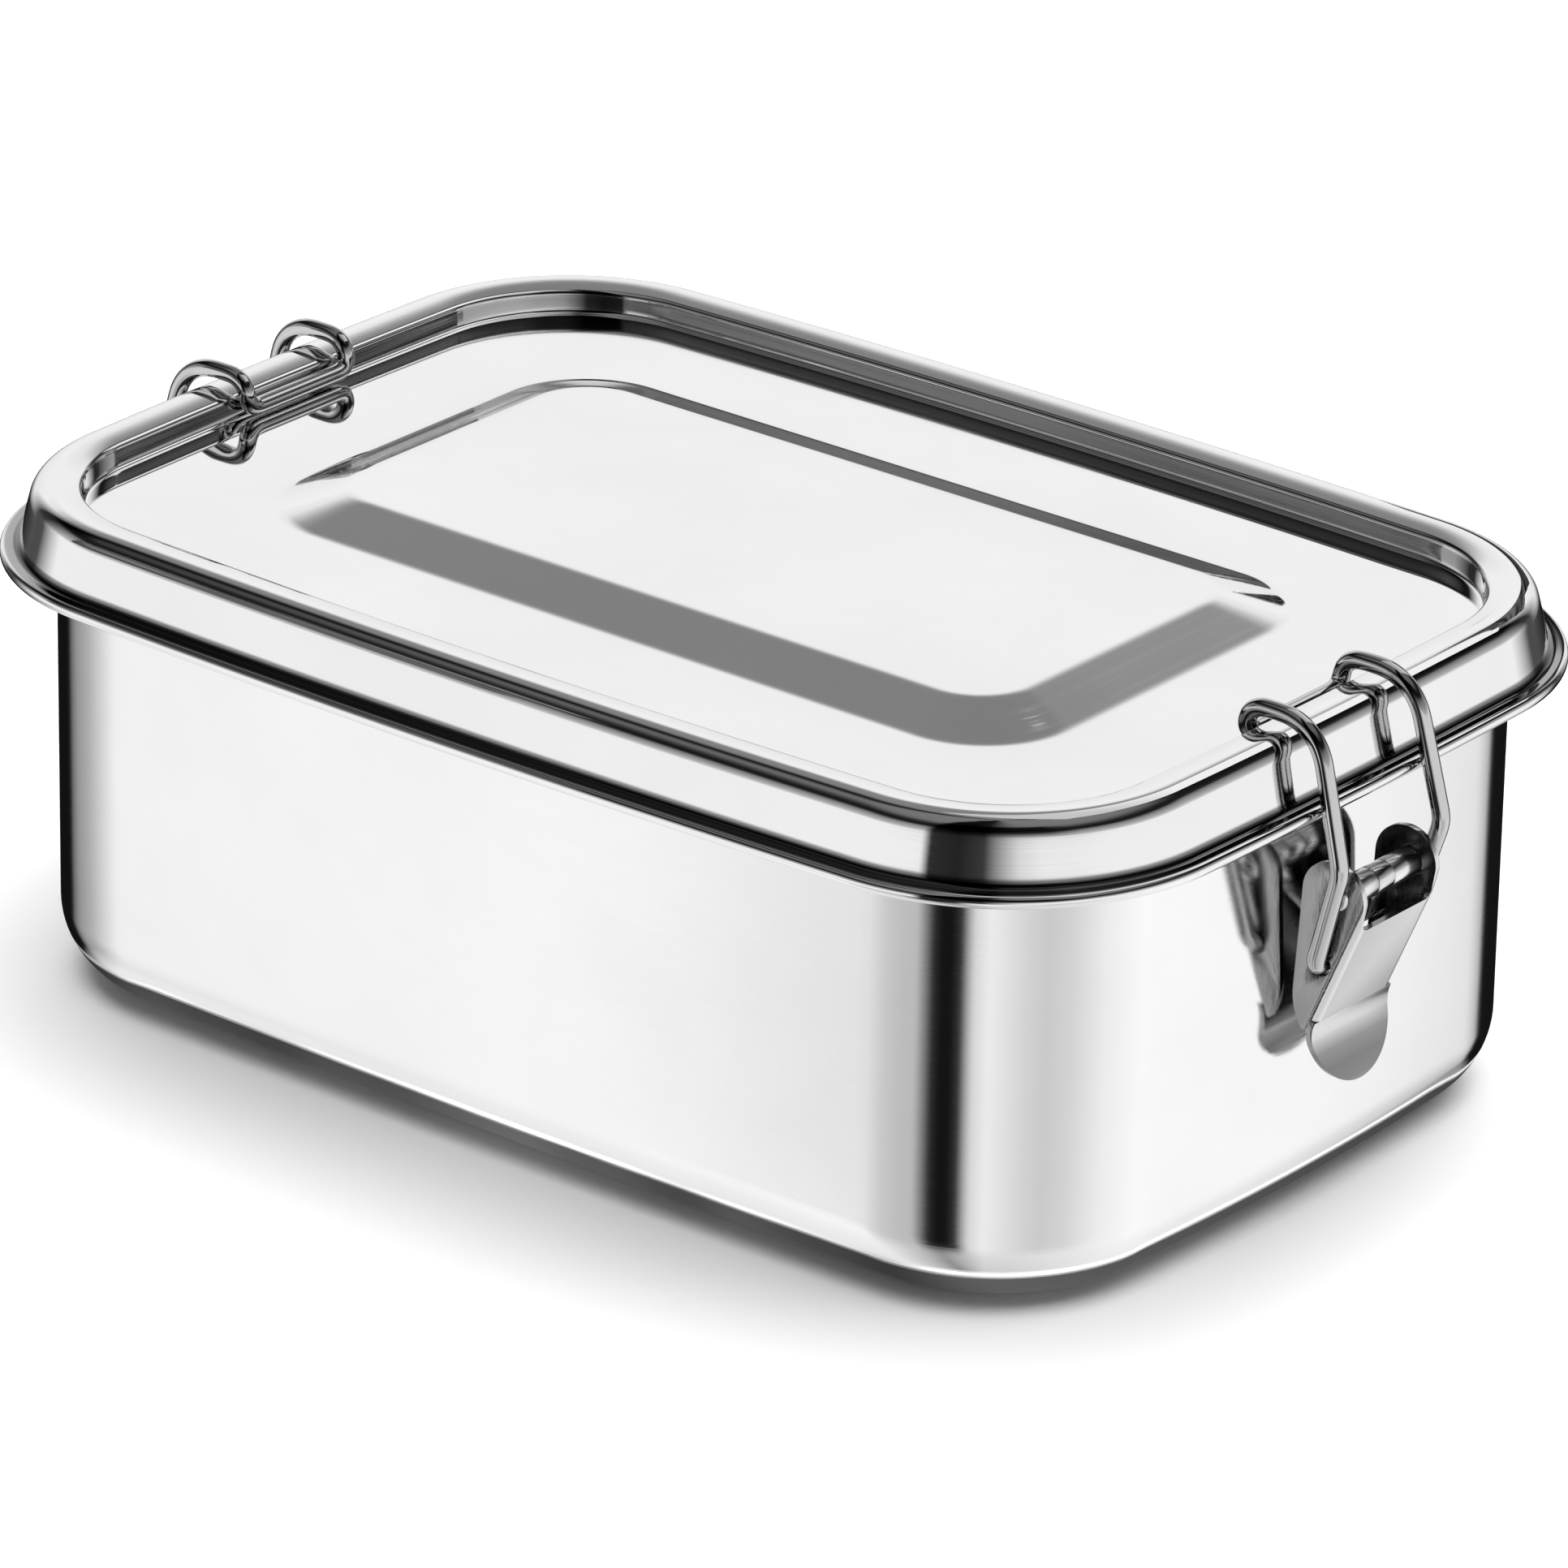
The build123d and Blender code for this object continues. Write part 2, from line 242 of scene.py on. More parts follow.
def tube(path, radius, sides=36, tip=0.35):
    """A wire along the path with softly rounded ends."""
    tangents = np.gradient(path, axis=0)
    tangents /= np.linalg.norm(tangents, axis=1)[:, None]
    side = np.cross(tangents[0], [0.3, 0.1, 1.0])
    angles = np.linspace(0, 2 * np.pi, sides, endpoint=False)
    rows = []
    for t in tangents:
        side = side - (side @ t) * t
        side /= np.linalg.norm(side)
        rows.append(np.cos(angles)[:, None] * side + np.sin(angles)[:, None] * np.cross(t, side))
    ends = [(0.0, radius - tip), (tip * 0.13, radius - tip * 0.5), (tip * 0.5, radius - tip * 0.13)]
    rings = [path[0] + tangents[0] * depth + r * rows[0] for depth, r in ends]
    for point, row in zip(path, rows):
        if min(np.linalg.norm(point - path[0]), np.linalg.norm(point - path[-1])) >= tip:
            rings.append(point + radius * row)
    rings += [path[-1] - tangents[-1] * depth + r * rows[-1] for depth, r in reversed(ends)]
    return join(skin(rings), fan(rings[0]), fan(rings[-1]))


def lathe(profile, centre, count=64):
    """A closed profile of (radius, y) turned about the line along Y through centre (x, z)."""
    rings = []
    for t in np.linspace(0, 2 * np.pi, count, endpoint=False):
        rings.append([(centre[0] + r * math.cos(t), y, centre[1] + r * math.sin(t)) for r, y in profile])
    return skin([np.array(r) for r in rings], close=True)


# ---- materials -----------------------------------------------------------------------------
class Nodes:
    """A small builder for one material's node tree."""

    def __init__(self, name):
        self.material = bpy.data.materials.new(name)
        self.material.use_nodes = True
        self.tree = self.material.node_tree
        self.shader = self.tree.nodes["Principled BSDF"]
        self.place = self.add("ShaderNodeTexCoord").outputs["Object"]

    def add(self, kind):
        return self.tree.nodes.new(kind)

    def link(self, a, b):
        self.tree.links.new(a, b)

    def noise(self, scale, detail=3.0, stretch=(1, 1, 1), roughness=0.55):
        """Noise on object coordinates: scale is cycles per metre, times stretch on each axis."""
        place = self.add("ShaderNodeMapping")
        place.inputs["Scale"].default_value = [scale * s for s in stretch]
        self.link(self.place, place.inputs["Vector"])
        node = self.add("ShaderNodeTexNoise")
        node.inputs["Scale"].default_value = 1.0
        node.inputs["Detail"].default_value = detail
        node.inputs["Roughness"].default_value = roughness
        self.link(place.outputs["Vector"], node.inputs["Vector"])
        return node.outputs["Fac"]

    def ramp(self, value, low, high, out_low, out_high):
        node = self.add("ShaderNodeMapRange")
        node.inputs["From Min"].default_value = low
        node.inputs["From Max"].default_value = high
        node.inputs["To Min"].default_value = out_low
        node.inputs["To Max"].default_value = out_high
        self.link(value, node.inputs["Value"])
        return node.outputs["Result"]

    def math(self, operation, a, b):
        node = self.add("ShaderNodeMath")
        node.operation = operation
        for i, v in enumerate((a, b)):
            if isinstance(v, (int, float)):
                node.inputs[i].default_value = v
            else:
                self.link(v, node.inputs[i])
        return node.outputs[0]

    def bump(self, height, strength, distance, normal=None):
        node = self.add("ShaderNodeBump")
        node.inputs["Strength"].default_value = strength
        node.inputs["Distance"].default_value = distance
        self.link(height, node.inputs["Height"])
        if normal is not None:
            self.link(normal, node.inputs["Normal"])
        return node.outputs["Normal"]

    def painted_shade_band(self, colour, stops):
        """Paints shade into the colour over a band of heights; stops are (height, brightness)."""
        split = self.add("ShaderNodeSeparateXYZ")
        self.link(self.place, split.inputs[0])
        low, high = stops[0][0], stops[-1][0]
        place = self.ramp(split.outputs["Z"], low, high, 0, 1)
        ramp = self.add("ShaderNodeValToRGB")
        self.link(place, ramp.inputs["Fac"])
        elements = ramp.color_ramp.elements
        while len(elements) < len(stops):
            elements.new(0.5)
        for element, (z, v) in zip(elements, stops):
            element.position = (z - low) / (high - low)
            element.color = (v, v, v, 1)
        mix = self.add("ShaderNodeMix")
        mix.data_type = "RGBA"
        mix.blend_type = "MULTIPLY"
        mix.inputs[0].default_value = 1.0
        self.link(colour, mix.inputs[6])
        self.link(ramp.outputs["Color"], mix.inputs[7])
        return mix.outputs[2]

    def mix(self, factor, a, b):
        node = self.add("ShaderNodeMix")
        node.data_type = "RGBA"
        self.link(factor, node.inputs[0])
        node.inputs[6].default_value = (*a, 1)
        node.inputs[7].default_value = (*b, 1)
        return node.outputs[2]


def steel(name, base, roughness, brush=None, brush_depth=0.12, wave=0.02, spread=0.05, painted_shade=None):
    """Bright stainless steel with smudges, a slow waviness and, where asked, fine brushing and a band of
    painted shade.
    """
    n = Nodes(name)
    s = n.shader
    s.inputs["Metallic"].default_value = 1.0
    smudge = n.noise(38, 4.0)
    tint = n.mix(n.ramp(smudge, 0.35, 0.7, 0, 1), [c * 0.96 for c in base], base)
    # Where asked, a band of heights is darkened as painted shade
    if painted_shade is not None:
        tint = n.painted_shade_band(tint, painted_shade)
    n.link(tint, s.inputs["Base Color"])
    rough = n.ramp(smudge, 0.3, 0.75, roughness - spread * 0.4, roughness + spread)
    normal = n.bump(n.noise(16, 2.0), wave, 0.002)
    if brush is not None:
        lines = n.noise(1.0, 3.0, brush, 0.7)
        rough = n.math("ADD", rough, n.ramp(lines, 0.3, 0.7, -0.03, 0.05))
        normal = n.bump(lines, brush_depth, 0.00004, normal)
    n.link(rough, s.inputs["Roughness"])
    n.link(normal, s.inputs["Normal"])
    return n.material


ALBEDO = 0.86
STEEL = (0.86, 0.86, 0.86)
tub_steel = steel("tub_brushed", STEEL, 0.035, (12, 12, 5200), 0.2, 0.005, 0.025)
# Two bands of painted shade, darker by height, in metres: the groove over the hem, and the lever's tab
GROOVE_PAINTED_SHADE = [(0.06385, 1.0), (0.06400, 0.12), (0.06450, 0.10), (0.06500, 0.3), (0.06535, 1.0)]
lid_steel = steel("lid_polished", STEEL, 0.03, (9, 9, 4200), 0.12, 0.008, 0.02, GROOVE_PAINTED_SHADE)
TAB_PAINTED_SHADE = [(0.0205, 0.56), (0.0222, 0.34), (0.0245, 0.31), (0.0268, 0.42), (0.0290, 0.90), (0.0310, 1.0)]
# The clip's finishes are darker than bare steel; the darker base colours of the ears, the inside of the
# channel and the wire are painted shade
lever_steel = steel("lever_satin", (0.72, 0.72, 0.72), 0.14, (60, 4200, 60), 0.12, 0.02, 0.05, TAB_PAINTED_SHADE)
# The colours of the ears and of the channel's inside are darkened as painted shade
ear_steel_shaded = steel("lever_ear_painted_shade", (0.42, 0.42, 0.42), 0.12, (1400, 90, 260), 1.0, 0.08, 0.12)
inside_painted_shade = steel("lever_inside_painted_shade", (0.16, 0.16, 0.16), 0.22, (2500, 60, 60), 0.2)
# The wire's colour is darkened as painted shade
wire_steel = steel("wire_drawn", (0.58, 0.58, 0.58), 0.05, None, 0.1, 0.01, 0.03)
pin_steel = steel("pin_turned", (0.84, 0.84, 0.84), 0.2, (300, 5200, 300), 0.1, 0.0)


def silicone():
    n = Nodes("seal_silicone")
    s = n.shader
    s.inputs["Roughness"].default_value = 0.45
    s.inputs["Subsurface Weight"].default_value = 0.25
    s.inputs["Subsurface Radius"].default_value = (0.004, 0.004, 0.004)
    n.link(n.mix(n.noise(90), (0.80, 0.80, 0.78), (0.86, 0.86, 0.85)), s.inputs["Base Color"])
    n.link(n.bump(n.noise(900, 4.0), 0.15, 0.0001), s.inputs["Normal"])
    return n.material


seal_material = silicone()

# ---- lid -----------------------------------------------------------------------------------
LID_SHEET = 0.6
HEM_R, HEM_Z = 0.95, 63.0
CREST_R, CREST_D, CREST_TOP = 3.2, 7.3, 72.85
LEAN = 14.0                 # the skirt, in degrees from vertical
FLARE_R = 1.1
CROWN_R, CROWN_TURN = 11.5, 17
INNER_EDGE_R, INNER_EDGE_TURN = 1.0, 69
INNER_LEAN = 4              # the inner wall, in degrees from vertical
FOOT_R = 0.7
PANEL_TOP = 68.85
FIELD_RISE, FIELD_RUN = 2.7, 8.7
FIELD_HALF_X, FIELD_HALF_Y, FIELD_CORNER = 66.5, 36.3, 14.5
FIELD_BEND = 6.0
UNDERSIDE_FROM = 22         # the lid's underside follows the outer skin after this point

lid_line = outline(*LID)
tub_line = outline(*TUB)


def lid_section():
    """The lid's outer skin from the hem's outermost line to the foot of the inner wall."""
    lap = CREST_D - CREST_R - 2.4 - HEM_R
    flare_end = FLARE_R * (1 - math.sin(math.radians(LEAN)))
    top = CREST_TOP - CREST_R * (1 - math.sin(math.radians(LEAN)))
    flare_z = HEM_Z + HEM_R + flare_end
    rise = (top - flare_z) / math.cos(math.radians(LEAN))
    moves = [("a", HEM_R, -180, 20), ("l", lap, 2), ("a", FLARE_R, 90 - LEAN, 10), ("l", rise, 5),
             ("a", CREST_R, LEAN - 90, 22), ("a", CROWN_R, -CROWN_TURN, 10),
             ("a", INNER_EDGE_R, -INNER_EDGE_TURN, 14)]
    points, heading = turtle((HEM_R, HEM_Z - HEM_R), 180, moves)
    lean = math.radians(INNER_LEAN)
    foot = FOOT_R * (1 - math.sin(lean))
    drop = (points[-1][1] - PANEL_TOP - foot) / math.cos(lean)
    more, _ = turtle(points[-1], heading, [("l", drop, 4), ("a", FOOT_R, 90 - INNER_LEAN, 10)])
    return points + more[1:]


section = lid_section()
panel_edge = ring(lid_line, section[-1][0], 0)
thetas = np.arctan2(panel_edge[:, 1], panel_edge[:, 0])


def field_rings(lift):
    """Rings from the panel over the raised field to the middle."""
    slope = math.degrees(math.atan2(FIELD_RISE, FIELD_RUN))
    reach = FIELD_BEND * math.tan(math.radians(slope / 2))
    run = math.hypot(FIELD_RUN, FIELD_RISE) - 2 * reach
    moves = [("a", FIELD_BEND, slope, 7), ("l", run, 6), ("a", FIELD_BEND, -slope, 7)]
    line, _ = turtle((-reach, 0), 0, moves)
    rings = []
    for inset, z in line:
        shape = rounded_rectangle(FIELD_HALF_X - inset, FIELD_HALF_Y - inset, FIELD_CORNER - inset * 0.7)
        rings.append(radial_ring(shape, thetas, PANEL_TOP + z + lift))
    return rings


def to_middle(last, levels=(0.66, 0.33)):
    rings = [last] + [last * [k, k, 1] for k in levels]
    return join(skin(rings), fan(rings[-1]))


def lid_mesh():
    outer = [ring(lid_line, d, z) for d, z in section]
    rows = field_rings(0)
    panel = [outer[-1]] + [outer[-1] * [1 - k, 1 - k, 1] + rows[0] * [k, k, 0] for k in (0.33, 0.66)]
    panel += rows
    under = offset_line(section, LID_SHEET)
    inner = [ring(lid_line, HEM_R + 0.95, HEM_Z), ring(lid_line, HEM_R + 0.9, HEM_Z + 0.35)]
    inner += [ring(lid_line, *point) for point in under[UNDERSIDE_FROM + 1:]]
    low = field_rings(-LID_SHEET)
    hem = [ring(lid_line, HEM_R + HEM_R * math.sin(a), HEM_Z - HEM_R * math.cos(a))
           for a in np.radians((72, 54, 36, 18))]
    return join(skin([inner[0]] + hem + outer), skin(panel), to_middle(rows[-1]),
                skin(inner), skin([inner[-1]] + low), to_middle(low[-1]))


lid = mesh_object("lid_shell", *lid_mesh(), lid_steel)
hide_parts("lid")
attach(lid, "lid_set")

# ---- tub -----------------------------------------------------------------------------------
TUB_TOP, TUB_SHEET, TUB_ROLL, TUB_FILLET = 67.2, 0.7, 1.2, 11.4


def tub_mesh():
    outer = [(0, TUB_TOP), (0, 60), (0, 45), (0, 30), (0, 20), (0, TUB_FILLET)]
    outer += [(TUB_FILLET * (1 - math.cos(a)), TUB_FILLET * (1 - math.sin(a)))
              for a in np.radians(np.linspace(0, 90, 25)[1:])]
    r = TUB_FILLET - TUB_SHEET
    inner = [(TUB_SHEET, TUB_TOP), (TUB_SHEET, 50), (TUB_SHEET, 30), (TUB_SHEET, TUB_FILLET)]
    inner += [(TUB_SHEET + r * (1 - math.cos(a)), TUB_SHEET + r * (1 - math.sin(a)))
              for a in np.radians(np.linspace(0, 90, 21)[1:])]
    outside = [ring(tub_line, d, z) for d, z in outer]
    inside = [ring(tub_line, d, z) for d, z in inner]
    roll = [ring(tub_line, TUB_ROLL * math.cos(a), TUB_TOP + TUB_ROLL * math.sin(a))
            for a in np.linspace(0, 2 * np.pi, 20, endpoint=False)]
    return join(skin(outside), to_middle(outside[-1]), skin(inside), to_middle(inside[-1]),
                skin(roll, close=True))


tub = mesh_object("tub_shell", *tub_mesh(), tub_steel)
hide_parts("tub")
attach(tub, "box")

# ---- seal ----------------------------------------------------------------------------------
seal_section = [(5.3, 68.5), (9.9, 68.5), (10.2, 68.8), (10.2, 71.3), (9.9, 71.6), (7.2, 71.6),
                (6.1, 71.1), (5.3, 70.3), (5.0, 69.75), (5.0, 68.8)]
seal = mesh_object("seal_ring", *skin([ring(lid_line, d, z) for d, z in seal_section], close=True),
                   seal_material, sharp=50)
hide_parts("lid_seal")
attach(seal, "lid_set")

# ---- clips ---------------------------------------------------------------------------------
PIVOT = (100.9, 50.5)
HOLE = (98.8, 40.35)
WIRE = 1.25
BEND_EASE = 0.8             # the wire's bends are smoothed over this length
LEVER_HALF = 8.5
PIN_R, PIN_BORE = 1.2, 0.55
SHEET_EDGE = 0.14           # how far the clip's sheet edges are broken


def turned(part, side):
    """The same piece turned half round for the left clip."""
    vertices, faces = part
    return (np.asarray(vertices) * [side, side, 1], faces)


def bail_mesh():
    half = [(86.8, 10.45, 70.42), (86.8, 10.45, 75.0), (98.3, 10.6, 75.0), (103.3, 11.3, 55.65),
            (HOLE[0], 10.1, HOLE[1]), (HOLE[0], 6.6, HOLE[1])]
    radii = [1.55, 2.95, 7.0, 3.5, 1.6]
    points = [(x, -y, z) for x, y, z in reversed(half)] + half
    return tube(relaxed(fillet_path(points, radii[::-1] + radii), BEND_EASE), WIRE)


def rivet_mesh():
    half = [(PIN_BORE, 7.9), (0.62, 8.55), (0.85, 8.85), (1.15, 8.95), (1.45, 8.9), (1.7, 8.72),
            (1.8, 8.5), (PIN_R, 8.5)]
    profile = [(PIN_BORE, 0.0)] + half + [(PIN_R, 0.0)]
    whole = profile + [(r, -y) for r, y in reversed(profile) if y > 0]
    return lathe(whole, PIVOT)


def sleeve_mesh(sign):
    low, high, r, bore, edge = 1.76, 7.54, 2.05, 1.25, 0.16
    profile = [(bore, low + edge), (bore + edge, low), (r - edge, low), (r - edge * 0.3, low + edge * 0.3),
               (r, low + edge), (r, high - edge), (r - edge * 0.3, high - edge * 0.3), (r - edge, high),
               (bore + edge, high), (bore, high - edge)]
    return lathe([(a, y * sign) for a, y in profile], PIVOT)


def softened(node, width, angle=32):
    """A CAD piece with its sheet edges broken, as a new mesh that stands for the node."""
    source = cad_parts[node]
    bm = bmesh.new()
    bm.from_mesh(source.data)
    bm.transform(source.matrix_world)
    bmesh.ops.remove_doubles(bm, verts=bm.verts, dist=2e-6)
    bmesh.ops.dissolve_limit(bm, angle_limit=math.radians(0.6), verts=bm.verts, edges=bm.edges)
    edges = [e for e in bm.edges if len(e.link_faces) == 2 and e.calc_face_angle(0) > math.radians(angle)]
    bmesh.ops.bevel(bm, geom=edges, offset=width, segments=3, profile=0.5, affect="EDGES",
                    clamp_overlap=True)
    for f in bm.faces:
        f.smooth = True
    mesh = bpy.data.meshes.new(node + "_shape")
    bm.to_mesh(mesh)
    bm.free()
    mesh.set_sharp_from_angle(angle=math.radians(28))
    obj = bpy.data.objects.new(node + "_shape", mesh)
    bpy.context.scene.collection.objects.link(obj)
    return obj


def lever_finishes(mesh, sign):
    """Gives the ears the scratched finish with its painted shade, and the inside of the channel the dark
    painted shade.
    """
    for face in mesh.polygons:
        y, z = face.center.y / MM, face.center.z / MM
        inward = face.normal.x * sign < -0.3 or (abs(face.normal.y) > 0.6 and face.normal.y * y < 0)
        if abs(y) > LEVER_HALF - 0.2 and abs(face.normal.y) > 0.9:
            face.material_index = 1
        elif inward and z > 28:
            face.material_index = 2
        else:
            face.material_index = 0


for side_name, sign in (("right", 1), ("left", -1)):
    levers, bails = side_name + "_lever_set", side_name + "_bail_set"
    shown = [
        (mesh_object(side_name + "_wire", *turned(bail_mesh(), sign), wire_steel),
         "bail", bails, "wire_steel"),
        (mesh_object(side_name + "_rivet", *turned(rivet_mesh(), sign), pin_steel, 40),
         "pivot_rivet", levers, "clip_steel"),
        (mesh_object(side_name + "_sleeve_front", *turned(sleeve_mesh(-1), sign), pin_steel, 40),
         "front_sleeve", levers, "clip_steel"),
        (mesh_object(side_name + "_sleeve_back", *turned(sleeve_mesh(1), sign), pin_steel, 40),
         "back_sleeve", levers, "clip_steel"),
    ]
    for node, body in (("lever", levers), ("bracket", "box")):
        piece = softened(side_name + "_" + node, SHEET_EDGE * MM)
        piece.data.materials.clear()
        for finish in (lever_steel, ear_steel_shaded, inside_painted_shade):
            piece.data.materials.append(finish)
        if node == "lever":
            lever_finishes(piece.data, sign)
        shown.append((piece, node, body, "clip_steel"))
    for piece, node, body, slot_name in shown:
        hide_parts(side_name + "_" + node)
        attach(piece, body)

# ---- stage, light and camera ---------------------------------------------------------------
floor_mesh = bpy.data.meshes.new("floor")
floor_mesh.from_pydata([(-6, -6, 0), (6, -6, 0), (6, 6, 0), (-6, 6, 0)], [], [(0, 1, 2, 3)])
floor = bpy.data.objects.new("floor", floor_mesh)
bpy.context.scene.collection.objects.link(floor)
floor_nodes = Nodes("floor_white")
floor_nodes.shader.inputs["Base Color"].default_value = (0.93, 0.93, 0.93, 1)
floor_nodes.shader.inputs["Roughness"].default_value = 0.85
floor_nodes.shader.inputs["Specular IOR Level"].default_value = 0.1
floor_mesh.materials.append(floor_nodes.material)

world = bpy.data.worlds.new("studio")
bpy.context.scene.world = world
world.use_nodes = True
tree = world.node_tree


def world_node(kind, **values):
    node = tree.nodes.new(kind)
    for key, value in values.items():
        setattr(node, key, value)
    return node


def world_math(operation, a, b=0.0):
    node = world_node("ShaderNodeMath", operation=operation)
    for i, v in enumerate((a, b)):
        if isinstance(v, (int, float)):
            node.inputs[i].default_value = v
        else:
            tree.links.new(v, node.inputs[i])
    return node.outputs[0]


def grey(value):
    """A display value out of 255, as the light that steel has to mirror to show it."""
    return (value / 255) ** 2.2 / ALBEDO


def world_ramp(value, low, high, stops, scale=grey):
    """Brightness along a direction angle in radians; stops are (degrees, display value)."""
    place = world_node("ShaderNodeMapRange")
    place.inputs["From Min"].default_value = math.radians(low)
    place.inputs["From Max"].default_value = math.radians(high)
    tree.links.new(value, place.inputs["Value"])
    node = world_node("ShaderNodeValToRGB")
    tree.links.new(place.outputs["Result"], node.inputs["Fac"])
    elements = node.color_ramp.elements
    while len(elements) < len(stops):
        elements.new(0.5)
    for element, (degrees, v) in zip(elements, stops):
        element.position = (degrees - low) / (high - low)
        element.color = (scale(v), scale(v), scale(v), 1)
    return node.outputs["Color"]


def world_mix(factor, a, b, blend="MIX"):
    node = world_node("ShaderNodeMix", data_type="RGBA", blend_type=blend)
    for socket, v in ((node.inputs[0], factor), (node.inputs[6], a), (node.inputs[7], b)):
        if isinstance(v, (int, float)):
            socket.default_value = v
        else:
            tree.links.new(v, socket)
    return node.outputs[2]


def plain(v):
    return v


split = world_node("ShaderNodeSeparateXYZ")
tree.links.new(world_node("ShaderNodeTexCoord").outputs["Generated"], split.inputs["Vector"])
dx, dy, dz = (split.outputs[i] for i in range(3))
height = world_math("ARCSINE", dz)
FRONT = math.radians(-51.4)      # bearings are counted from this direction
ahead = world_math("ADD", world_math("MULTIPLY", dx, math.cos(FRONT)),
                   world_math("MULTIPLY", dy, math.sin(FRONT)))
across = world_math("SUBTRACT", world_math("MULTIPLY", dy, math.cos(FRONT)),
                    world_math("MULTIPLY", dx, math.sin(FRONT)))
bearing = world_math("ARCTAN2", across, ahead)

# What the steel mirrors: brightness by bearing and height, in the display values listed
floor_band = world_ramp(bearing, -180, 180, [
    (-180, 24), (-141, 24), (-137, 38), (-133, 108), (-126, 146), (-112, 175), (-101, 208), (-89, 240),
    (-77, 248), (-73, 222), (-63, 200), (-52, 188), (-45, 186), (-41, 140), (-36, 50), (-31, 27), (-25, 27),
    (-20, 56), (-13, 214), (-5, 238), (15, 212), (26, 202), (40, 212), (60, 238), (85, 252), (105, 248),
    (112, 238), (120, 214), (128, 182), (133, 60), (137, 28), (180, 24)])
floor_near = world_ramp(bearing, -180, 180, [
    (-180, 236), (-77, 246), (-60, 222), (-45, 196), (-30, 150), (-18, 190), (-5, 226), (15, 226),
    (60, 240), (90, 250), (180, 244)])
floor_band = world_mix(world_ramp(height, -90, 90, [(-90, 0), (-46, 0), (-34, 1), (90, 1)], plain),
                       floor_near, floor_band)
strip = world_ramp(bearing, -180, 180, [
    (-180, 0.08), (-127, 0.08), (-120, 0.4), (-108, 1), (-38, 1), (-34, 0.03), (-20, 0.02), (-8, 0.05),
    (-1, 0.4), (8, 0.85), (18, 1), (112, 1), (122, 0.5), (130, 0.08), (180, 0.08)], plain)
side_sky = world_ramp(height, -90, 90, [
    (-90, 240), (-3, 240), (3, 238), (7, 190), (14, 160), (21, 138), (26, 110), (30, 46), (35, 30),
    (41, 40), (47, 72), (53, 104), (60, 114), (90, 118)])
near_sky = world_ramp(height, -90, 90, [
    (-90, 240), (-3, 240), (4, 236), (9, 170), (15, 140), (21, 96), (28, 34), (38, 22), (46, 22), (53, 34),
    (58, 104), (65, 114), (90, 118)])
away = world_math("ABSOLUTE", bearing)
to_side = world_ramp(away, 0, 180, [(0, 0), (24, 0), (40, 1), (180, 1)], plain)
front_sky = world_mix(to_side, near_sky, side_sky)
back_sky = world_ramp(height, -90, 90, [
    (-90, 70), (-22, 60), (-14, 70), (-4, 200), (0, 228), (10, 232), (15, 236), (23, 240), (29, 228),
    (33, 190), (37, 150), (41, 130), (50, 126), (90, 122)])
behind = world_ramp(away, 0, 180, [(0, 0), (136, 0), (152, 1), (180, 1)], plain)
sky = world_mix(behind, world_mix(1.0, front_sky, strip, "MULTIPLY"), back_sky)
above = world_ramp(height, -90, 90, [(-90, 0), (-20, 0), (-14, 1), (90, 1)], plain)
under = world_ramp(height, -90, 90, [(-90, 0.72), (-50, 0.92), (-35, 1), (90, 1)], plain)
seen = world_mix(above, world_mix(1.0, floor_band, under, "MULTIPLY"), sky)
tree.links.new(seen, tree.nodes["Background"].inputs["Color"])
tree.nodes["Background"].inputs["Strength"].default_value = 1.0
floor.visible_glossy = False


def area_light(name, place, aim, size, power, glossy):
    data = bpy.data.lights.new(name, "AREA")
    data.shape = "RECTANGLE"
    data.size, data.size_y = size
    data.energy = power
    light = bpy.data.objects.new(name, data)
    light.location = place
    light.rotation_euler = (Vector(aim) - Vector(place)).to_track_quat("-Z", "Y").to_euler()
    light.visible_glossy = glossy
    light.visible_camera = False
    bpy.context.scene.collection.objects.link(light)
    return light


area_light("overhead", (0.1, 0.2, 1.6), (0, 0, 0), (2.4, 2.4), 66, False)


def dark_glow(name, level):
    """A glowing dark surface with streaks; level is the display value that it mirrors as."""
    n = Nodes(name)
    streaks = n.ramp(n.noise(1.0, 3.0, (9, 1, 150)), 0.4, 0.62, grey(level * 0.5), grey(level * 2.1))
    n.shader.inputs["Base Color"].default_value = (0, 0, 0, 1)
    n.shader.inputs["Specular IOR Level"].default_value = 0.0
    n.shader.inputs["Emission Color"].default_value = (1, 1, 1, 1)
    n.link(streaks, n.shader.inputs["Emission Strength"])
    return n.material


def steel_only(flag):
    """Keeps a stage piece out of the picture, but in what the steel mirrors."""
    flag.visible_camera = flag.visible_diffuse = flag.visible_shadow = False


def dark_flag(name, left, right, y, low, high, level):
    """An upright dark card standing clear of the box, seen only in the steel."""
    mesh = bpy.data.meshes.new(name)
    corners = [(left, y, low), (right, y, low), (right, y, high), (left, y, high)]
    mesh.from_pydata(corners, [], [(0, 1, 2, 3)])
    flag = bpy.data.objects.new(name, mesh)
    bpy.context.scene.collection.objects.link(flag)
    mesh.materials.append(dark_glow(name + "_cloth", level))
    steel_only(flag)


# The contact shadow under the box, painted on dark glowing sheets that the steel just above them mirrors
PAINTED_CONTACT_SHADOW = ((1.2, None, 52), (0.4, 1.2, 110), (-0.8, 0.4, 176))
for outer, inner, level in PAINTED_CONTACT_SHADOW:
    edge = ring(tub_line, outer, -0.1)
    part = fan(edge) if inner is None else skin([edge, ring(tub_line, inner, -0.1)])
    steel_only(mesh_object("contact_%d" % level, *part, dark_glow("contact_cloth_%d" % level, level)))

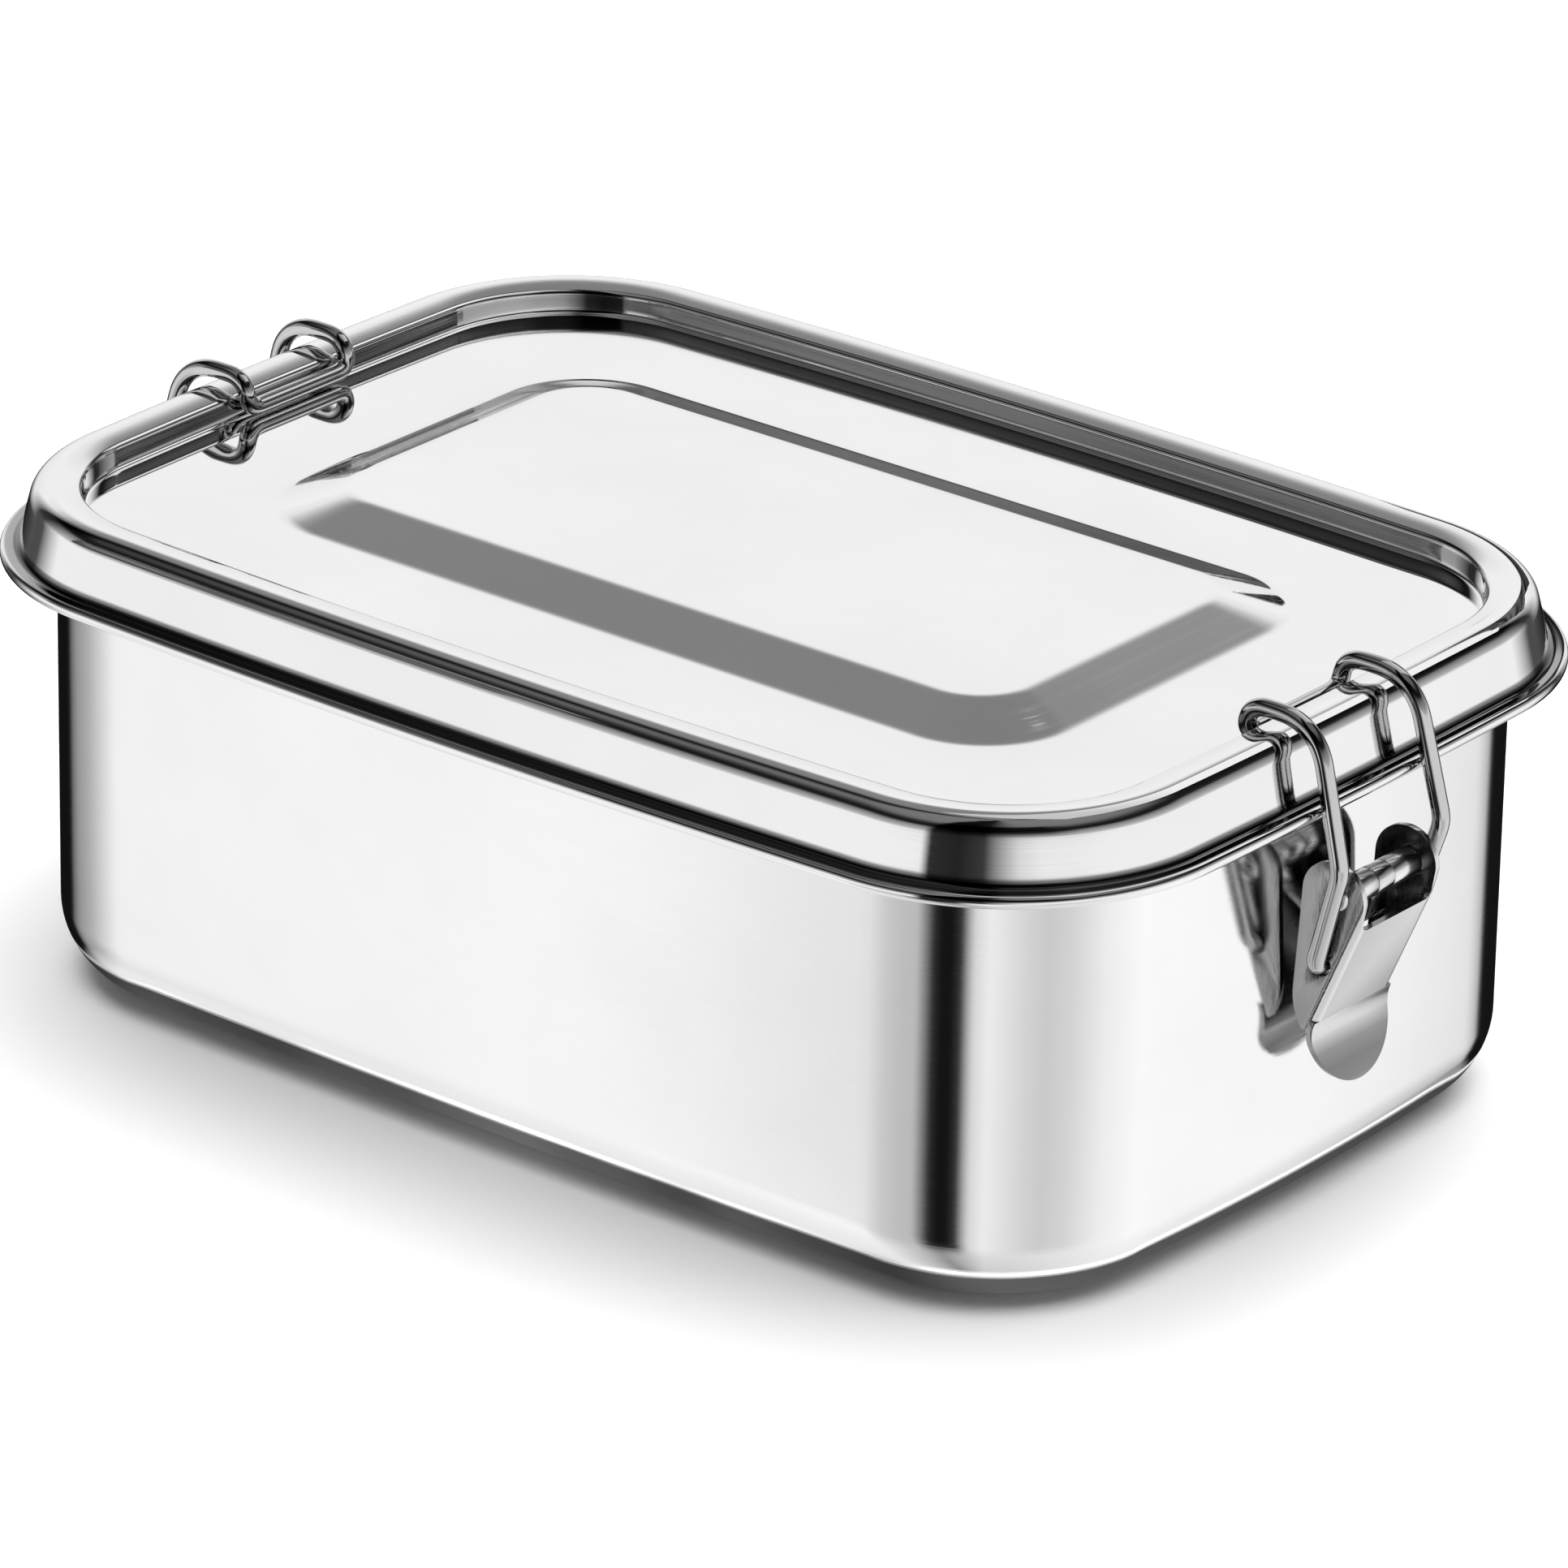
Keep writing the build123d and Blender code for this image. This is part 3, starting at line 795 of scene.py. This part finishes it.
dark_flag("front_flag", -0.235, -0.060, -0.150, 0.100, 0.165, 62)
dark_flag("low_back_flag", 0.000, 0.058, 0.150, 0.084, 0.112, 50)
dark_flag("high_back_flag", 0.034, 0.085, 0.150, 0.112, 0.165, 50)

# A softbox over the back right of the box, seen only in the steel
card_mesh = bpy.data.meshes.new("softbox")
card_mesh.from_pydata([(-0.035, 0.0, 0.37), (0.16, 0.0, 0.37), (0.16, 0.44, 0.37), (-0.035, 0.44, 0.37)],
                      [], [(0, 1, 2, 3)])
card = bpy.data.objects.new("softbox", card_mesh)
bpy.context.scene.collection.objects.link(card)
card_material = bpy.data.materials.new("softbox_light")
card_material.use_nodes = True
card_tree = card_material.node_tree
glow = card_tree.nodes.new("ShaderNodeEmission")
card_place = card_tree.nodes.new("ShaderNodeTexCoord")
card_split = card_tree.nodes.new("ShaderNodeSeparateXYZ")
card_range = card_tree.nodes.new("ShaderNodeMapRange")
card_range.inputs["From Min"].default_value = 0.10
card_range.inputs["From Max"].default_value = 0.28
card_range.inputs["To Min"].default_value = grey(196)
card_range.inputs["To Max"].default_value = grey(242)
card_tree.links.new(card_place.outputs["Object"], card_split.inputs["Vector"])
card_tree.links.new(card_split.outputs["Y"], card_range.inputs["Value"])
card_tree.links.new(card_range.outputs["Result"], glow.inputs["Strength"])
card_tree.links.new(glow.outputs["Emission"], card_tree.nodes["Material Output"].inputs["Surface"])
card_mesh.materials.append(card_material)
card.visible_camera = card.visible_diffuse = card.visible_shadow = card.visible_transmission = False

camera_data = bpy.data.cameras.new("camera")
camera_data.sensor_width = 36.0
camera_data.lens = 234.9
camera_data.clip_end = 30.0
camera = bpy.data.objects.new("camera", camera_data)
bpy.context.scene.collection.objects.link(camera)
right = Vector((0.77706, 0.62919, 0.01712))
up = Vector((-0.26337, 0.30032, 0.91675))
back = Vector((0.57167, -0.71689, 0.39908))
centre = back * 1.3893 + right * 0.000974 - up * 0.02569 + Vector((0, 0, 0.06293))
camera.matrix_world = Matrix((
    (right.x, up.x, back.x, centre.x),
    (right.y, up.y, back.y, centre.y),
    (right.z, up.z, back.z, centre.z),
    (0, 0, 0, 1),
))
bpy.context.scene.camera = camera
bpy.context.scene.view_settings.view_transform = "Standard"
